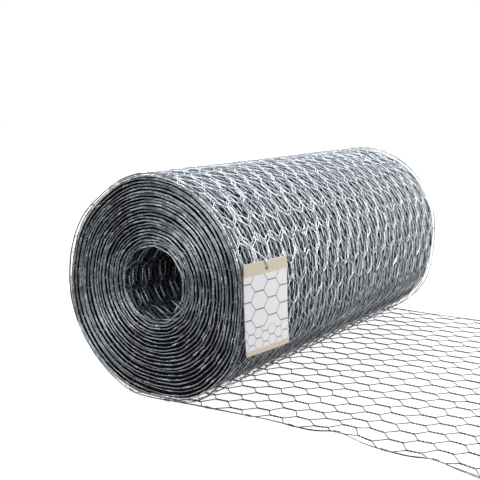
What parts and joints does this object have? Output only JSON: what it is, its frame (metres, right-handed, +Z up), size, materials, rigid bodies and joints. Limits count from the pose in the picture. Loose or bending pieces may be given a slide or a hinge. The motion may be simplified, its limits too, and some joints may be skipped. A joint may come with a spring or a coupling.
{
  "type": "roll of hexagonal wire netting",
  "caption": "Roll of galvanised hexagonal wire netting lying on its side, with an open bore, its end unrolled flat and a card label tied on.",
  "frame": {"origin": "on the axis of the roll's open bore, at the middle of the netting's width", "axes": "+Z up, +Y along the bore away from the end that carries the label, +X the way the netting unrolls along the floor"},
  "size_m": [0.5293, 0.5021, 0.2448],
  "materials": {
    "galvanised_wire": "satin",
    "label_card": "matte",
    "tie_wire": "satin"
  },
  "bodies": {
    "root": {"netting_roll": "galvanised_wire", "netting_tail": "galvanised_wire", "label_tag": "label_card", "tag_tie": "tie_wire"}
  },
  "joints": []
}
